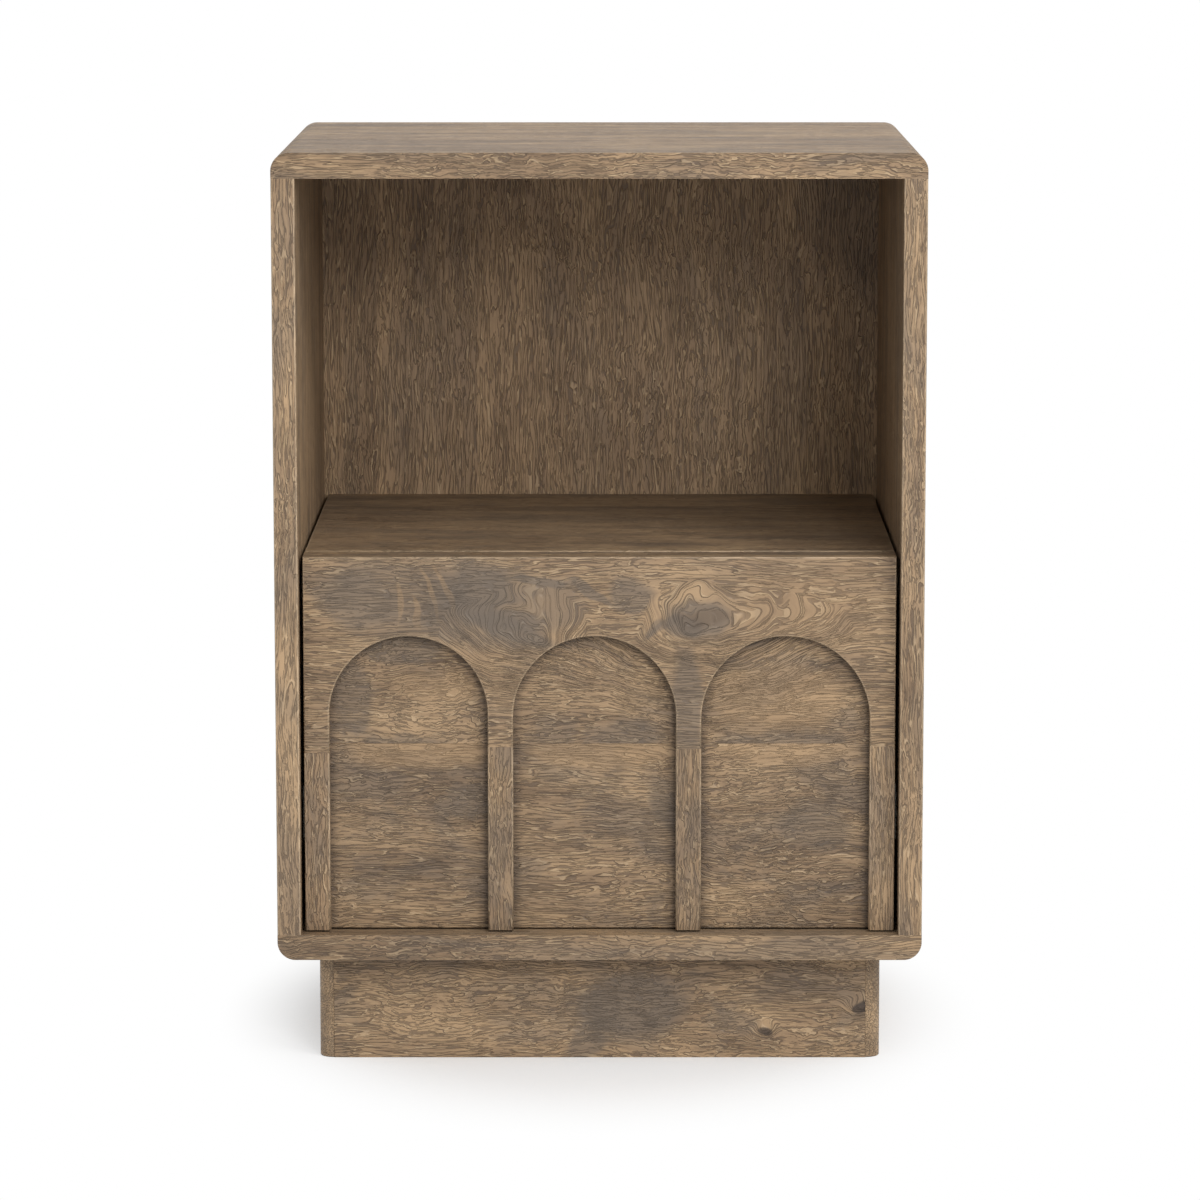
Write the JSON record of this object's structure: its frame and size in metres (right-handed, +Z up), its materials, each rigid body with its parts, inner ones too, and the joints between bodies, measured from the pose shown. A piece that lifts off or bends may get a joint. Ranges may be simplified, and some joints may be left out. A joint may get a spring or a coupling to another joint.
{
  "type": "nightstand",
  "caption": "Nightstand with an open cubby above a push-open drawer, arched relief on the drawer front, rounded case corners and a set-back plinth.",
  "frame": {"origin": "on the floor, under the middle of the case", "axes": "+Z up, +X to the right seen from the front, the drawer opens towards -Y"},
  "size_m": [0.508, 0.406, 0.722],
  "materials": {
    "washed_mango": "grey-brown washed mango wood, matt lacquer",
    "drawer_wood": "plain sanded mango wood, thin lacquer",
    "beech_dowel": "raw beech",
    "zinc_steel": "bright zinc plated sheet",
    "screw_steel": "zinc plated screws",
    "ball_steel": "polished steel balls",
    "latch_plastic": "black moulded nylon",
    "magnet_nickel": "nickel plated magnet"
  },
  "bodies": {
    "case": {"top_panel": "washed_mango", "left_side_panel": "washed_mango", "right_side_panel": "washed_mango", "bottom_panel": "washed_mango", "back_panel": "washed_mango", "shelf_panel": "washed_mango", "shelf_left_cleat": "drawer_wood", "shelf_right_cleat": "drawer_wood", "shelf_rear_cleat": "drawer_wood", "case_dowels": "beech_dowel", "back_panel_screws": "screw_steel", "cleat_screws": "screw_steel", "shelf_screws": "screw_steel", "plinth_front_board": "washed_mango", "plinth_back_board": "washed_mango", "plinth_left_board": "washed_mango", "plinth_right_board": "washed_mango", "plinth_corner_blocks": "drawer_wood", "plinth_screws": "screw_steel", "left_slide_case_member": "zinc_steel", "right_slide_case_member": "zinc_steel", "slide_case_screws": "screw_steel", "latch_housing": "latch_plastic", "latch_base_plate": "latch_plastic", "latch_screws": "screw_steel", "latch_spring": "screw_steel"},
    "drawer": {"drawer_left_side": "drawer_wood", "drawer_right_side": "drawer_wood", "drawer_box_front": "drawer_wood", "drawer_box_rear": "drawer_wood", "drawer_bottom": "drawer_wood", "drawer_dowels": "beech_dowel", "front_upper_board": "washed_mango", "front_lower_board": "washed_mango", "arch_head_board": "washed_mango", "arch_stile_1": "washed_mango", "arch_stile_2": "washed_mango", "arch_stile_3": "washed_mango", "arch_stile_4": "washed_mango", "drawer_front_screws": "screw_steel", "left_slide_drawer_member": "zinc_steel", "right_slide_drawer_member": "zinc_steel", "slide_drawer_screws": "screw_steel", "latch_strike_plate": "zinc_steel", "strike_screws": "screw_steel"},
    "latch_plunger": {"latch_plunger": "latch_plastic", "latch_magnet": "magnet_nickel"},
    "left_slide_middle": {"left_slide_middle_member": "zinc_steel"},
    "left_outer_retainer": {"left_outer_ball_retainer": "zinc_steel", "left_outer_balls": "ball_steel"},
    "left_inner_retainer": {"left_inner_ball_retainer": "zinc_steel", "left_inner_balls": "ball_steel"},
    "right_slide_middle": {"right_slide_middle_member": "zinc_steel"},
    "right_outer_retainer": {"right_outer_ball_retainer": "zinc_steel", "right_outer_balls": "ball_steel"},
    "right_inner_retainer": {"right_inner_ball_retainer": "zinc_steel", "right_inner_balls": "ball_steel"}
  },
  "joints": [
    {"name": "drawer_slide", "type": "slide", "parent": "case", "child": "drawer", "axis": [0, -1, 0], "range_m": [0, 0.3]},
    {"name": "latch_push", "type": "slide", "parent": "case", "child": "latch_plunger", "axis": [0, 1, 0], "range_m": [0, 0.003], "stiffness_N_per_m": 400, "deforming": ["latch_spring"]},
    {"name": "left_slide_middle_slide", "type": "slide", "parent": "case", "child": "left_slide_middle", "axis": [0, -1, 0], "range_m": [0, 0.15]},
    {"name": "left_outer_retainer_slide", "type": "slide", "parent": "case", "child": "left_outer_retainer", "axis": [0, -1, 0], "range_m": [0, 0.075]},
    {"name": "left_inner_retainer_slide", "type": "slide", "parent": "case", "child": "left_inner_retainer", "axis": [0, -1, 0], "range_m": [0, 0.225]},
    {"name": "right_slide_middle_slide", "type": "slide", "parent": "case", "child": "right_slide_middle", "axis": [0, -1, 0], "range_m": [0, 0.15]},
    {"name": "right_outer_retainer_slide", "type": "slide", "parent": "case", "child": "right_outer_retainer", "axis": [0, -1, 0], "range_m": [0, 0.075]},
    {"name": "right_inner_retainer_slide", "type": "slide", "parent": "case", "child": "right_inner_retainer", "axis": [0, -1, 0], "range_m": [0, 0.225]}
  ],
  "couplings": [
    {"joint": "left_slide_middle_slide", "follows": "drawer_slide", "ratio": 0.5},
    {"joint": "left_outer_retainer_slide", "follows": "drawer_slide", "ratio": 0.25},
    {"joint": "left_inner_retainer_slide", "follows": "drawer_slide", "ratio": 0.75},
    {"joint": "right_slide_middle_slide", "follows": "drawer_slide", "ratio": 0.5},
    {"joint": "right_outer_retainer_slide", "follows": "drawer_slide", "ratio": 0.25},
    {"joint": "right_inner_retainer_slide", "follows": "drawer_slide", "ratio": 0.75}
  ]
}
